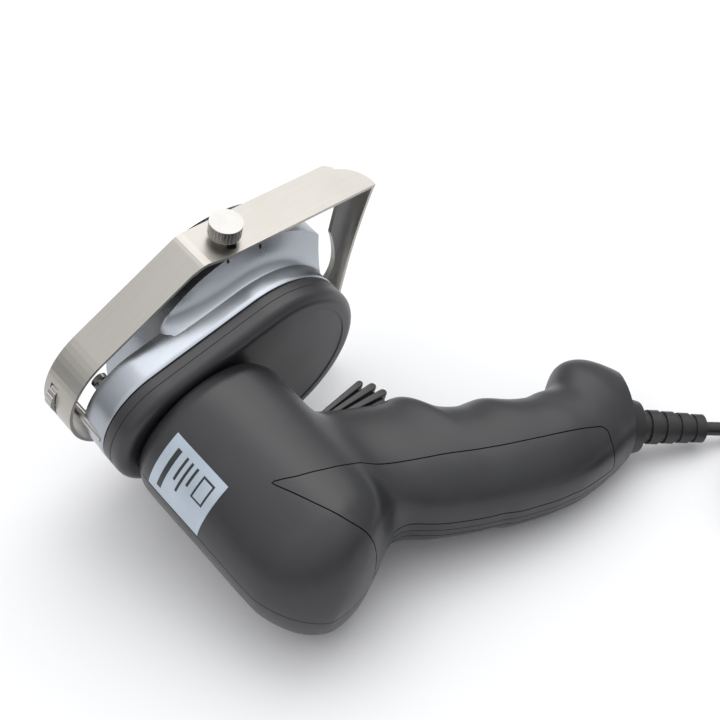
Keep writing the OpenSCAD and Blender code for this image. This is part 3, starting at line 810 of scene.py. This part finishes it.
def make_case():
    """Gear casting: a pear-shaped base, and the flared hood cut flat at the bottom."""
    steps = [(-33.9, 0.5), (-33.7, 0.15), (-33.3, 0), (-31.5, 0), (-29, 0.3), (-24, 0.5),
             (-20, 1.2), (-19.2, 3)]
    base = bm_of(*loft([[(x, y, z) for y, z in pear_ring(d)] for x, d in steps]))
    hood = bm_of(*loft(hood_rings()))
    cut = split_all(hood, (0, 0, HOOD_CUT), (0, 0, -1), clear_outer=True)
    edges = [e for e in cut["geom_cut"] if isinstance(e, bmesh.types.BMEdge)]
    bmesh.ops.holes_fill(hood, edges=edges, sides=0)
    cutters = slot_cutters()
    slots = ("BOOLEAN", {"object": cutters, "operation": "DIFFERENCE", "solver": "EXACT"})
    base.from_mesh(with_modifiers(mesh_from("hood", hood), [slots]))
    bpy.data.objects.remove(cutters)
    bm_piece("gear_casting", base, "frame", "cast", ("gear_case",), 32)


make_cover()
make_case()


# ---- trigger, in tool-frame millimetres ----
TRIGGER_W, CORE_W = 6.4, 4.9
ROD_ROOT = (-75.4, 8.4)
ROD_ROOT_R = 0.9
# Far ends of the rods in x and z, and the radius of each.
RODS = [(-71.6, -21.5, 1.45), (-75.7, -25, 1.7), (-80.6, -26.6, 1.7)]


def prism(outline, half):
    """An x-z outline drawn out to both sides of the middle."""
    n = len(outline)
    verts = [(x, y, z) for y in (-half, half) for x, z in outline]
    faces = [tuple(range(n)), tuple(range(2 * n - 1, n - 1, -1))]
    faces += [(i, i + n, (i + 1) % n + n, (i + 1) % n) for i in range(n)]
    return bm_of(verts, faces)


def rounded(bm, width):
    """The solid with its edges rounded."""
    bevel = {"width": width, "segments": 3, "limit_method": "ANGLE",
             "angle_limit": math.radians(25)}
    return with_modifiers(mesh_from("rounded", bm), [("BEVEL", bevel)])


def make_trigger():
    """Finger lever: a core between three rods that fan out from its pivot end."""
    out = bmesh.new()
    core = [(-75.6, 7), (-74.6, 0), (-73.6, -10), (-73, -19), (-75, -23), (-80, -26),
            (-86, -25), (-86, 2), (-82, 8.6), (-78, 8.6)]
    out.from_mesh(rounded(prism(core, CORE_W), 0.6))
    for ex, ez, r in RODS:
        ax, az = ROD_ROOT[0] - 0.35 * (RODS[0][0] - ex), ROD_ROOT[1]
        size = math.hypot(ex - ax, ez - az)
        ux, uz = (ex - ax) / size, (ez - az) / size
        rod = [(ax - uz * ROD_ROOT_R, az + ux * ROD_ROOT_R), (ax + uz * ROD_ROOT_R, az - ux * ROD_ROOT_R)]
        for a in np.linspace(0, math.pi, 7):
            c, s = math.cos(a), math.sin(a)
            rod.append((ex + r * (uz * c + ux * s), ez + r * (-ux * c + uz * s)))
        out.from_mesh(rounded(prism(rod, TRIGGER_W), 0.7))
    bm_piece("trigger_lever", out, "trigger", "trigger_plastic", ("trigger",), 40)


make_trigger()


# ---- coil ties and plug: millimetres on the table, z up ----
TIE_INNER, TIE_OUTER = 16.9, 49.8
TIE_LOW, TIE_TOP = 0.02, 12.6
TIE_HALF, TIE_T = 2.4, 0.7
TIE_ANGLES = (150, -20)
TIE_STEPS = 40
PLUG_X, PLUG_Y, PLUG_Z = 81, -199.9, 8
# Plug stations: distance from the lead, half width, half height, corner power.
PLUG = [(0.1, 4.3, 4.3, 2), (4, 4.6, 4.6, 2), (9, 5.2, 5.2, 2.1), (13, 6.4, 6.0, 2.4),
        (16, 9.6, 7.4, 3), (18, 10, 7.8, 3.4), (19, 9.5, 7.4, 3.4), (20, 10, 7.8, 3.4),
        (21, 9.5, 7.4, 3.4), (22, 10, 7.8, 3.4), (23, 9.5, 7.4, 3.4), (24.5, 11.4, 7.8, 3.8),
        (26.5, 12.8, 7.85, 4.2), (34.5, 12.95, 7.85, 4.4), (35.7, 12.5, 7.5, 4.4),
        (36, 11.6, 6.8, 4.4)]


def tie_section():
    """Rounded square round the bundle of turns: radius, height and outward direction."""
    mid_r, half_r = (TIE_INNER + TIE_OUTER) / 2, (TIE_OUTER - TIE_INNER) / 2
    mid_z, half_z = (TIE_LOW + TIE_TOP) / 2, (TIE_TOP - TIE_LOW) / 2
    loop = []
    for j in range(TIE_STEPS):
        a = 2 * math.pi * j / TIE_STEPS
        c, s = math.cos(a), math.sin(a)
        sx = math.copysign(abs(c) ** 0.35, c)
        sz = math.copysign(abs(s) ** 0.35, s)
        loop.append((mid_r + sx * half_r, max(TIE_LOW + 0.02, mid_z + sz * half_z), sx, sz))
    return loop


def make_ties():
    """Two flat ties round the turns of the coil."""
    across = [(-1, 0), (-0.92, 0.6), (0, 1), (0.92, 0.6), (1, 0)]
    for k, degrees in enumerate(TIE_ANGLES):
        a = math.radians(degrees)
        u, n = Vector((math.cos(a), math.sin(a), 0)), Vector((-math.sin(a), math.cos(a), 0))
        verts = []
        for r, z, sx, sz in tie_section():
            for side, out in across:
                p = Vector((COIL_X, COIL_Y, 0)) + u * (r + sx * out * TIE_T * 0.6) + n * side * TIE_HALF
                p.z = z + (out * TIE_T * 0.5 if sz > 0 else 0)
                verts.append(p * MM)
        m = len(across)
        faces = []
        for i in range(TIE_STEPS):
            here, there = i * m, (i + 1) % TIE_STEPS * m
            for j in range(m):
                nxt = (j + 1) % m
                faces.append((here + j, here + nxt, there + nxt, there + j))
        mesh = mesh_from("tie", bm_of(verts, faces))
        mesh.shade_smooth()
        add_piece("coil_tie_%d" % (k + 1), mesh, "frame", "relief", tool=False)


def make_plug():
    """Moulded two-pin plug body with a waist, grip ribs and a rounded face."""
    rings = []
    for x, wide, tall, power in PLUG:
        q = round_ring(48, wide, tall, tall, power, power)
        rings.append([(PLUG_X - x, PLUG_Y - u, PLUG_Z + v) for u, v in q])
    verts, faces = loft(rings)
    mesh = mesh_from("plug", bm_of([Vector(map(float, p)) * MM for p in verts], faces))
    mesh.shade_smooth()
    add_piece("plug_moulding", mesh, "frame", "relief", ("plug_body",), tool=False)


make_ties()
make_plug()


# ---- floor and light, in metres ----
FLOOR_HALF = 6
# Brightness of the surroundings from straight down (0) to straight up (1).
SKY = [(0.0, 0.2), (0.5, 0.28), (0.6, 0.5), (0.75, 0.75), (0.86, 0.9), (1.0, 1.6)]
SKY_STRENGTH = 0.95


def make_floor():
    """Pale table under the tool."""
    mesh = bpy.data.meshes.new("floor")
    s = FLOOR_HALF
    mesh.from_pydata([(-s, -s, 0), (s, -s, 0), (s, s, 0), (-s, s, 0)], [], [(0, 1, 2, 3)])
    floor = bpy.data.objects.new("floor", mesh)
    bpy.context.scene.collection.objects.link(floor)
    floor.data.materials.append(Mat("pale_floor", (0.9, 0.9, 0.91), 0.6, 0.0, 0.2).mat)


def make_world():
    """Pale surroundings, brighter towards the top."""
    world = bpy.data.worlds.new("studio")
    bpy.context.scene.world = world
    world.use_nodes = True
    tree = world.node_tree
    background = tree.nodes["Background"]
    coord = tree.nodes.new("ShaderNodeTexCoord")
    parts = tree.nodes.new("ShaderNodeSeparateXYZ")
    remap = tree.nodes.new("ShaderNodeMapRange")
    ramp = tree.nodes.new("ShaderNodeValToRGB")
    remap.inputs["From Min"].default_value = -1
    tree.links.new(coord.outputs["Generated"], parts.inputs[0])
    tree.links.new(parts.outputs["Z"], remap.inputs["Value"])
    tree.links.new(remap.outputs["Result"], ramp.inputs[0])
    tree.links.new(ramp.outputs[0], background.inputs["Color"])
    stops = ramp.color_ramp.elements
    while len(stops) < len(SKY):
        stops.new(0.5)
    for e, (place, value) in zip(stops, SKY):
        e.position = place
        e.color = (value, value * 1.005, value * 1.02, 1)
    background.inputs["Strength"].default_value = SKY_STRENGTH


def softbox(name, place, aim, size, power):
    """A rectangular lamp that faces a point."""
    light = bpy.data.lights.new(name, "AREA")
    light.shape = "RECTANGLE"
    light.size, light.size_y = size
    light.energy = power
    obj = bpy.data.objects.new(name, light)
    obj.location = place
    obj.rotation_euler = (Vector(aim) - Vector(place)).to_track_quat("-Z", "Y").to_euler()
    bpy.context.scene.collection.objects.link(obj)


make_floor()
make_world()
softbox("top_softbox", (0.55, 0.3, 1.35), (0, 0, 0.03), (1.4, 1.4), 7)
softbox("side_softbox", (-0.9, -0.1, 0.6), (0, 0, 0.05), (0.8, 1.1), 0.8)
bpy.context.scene.view_settings.view_transform = "Standard"
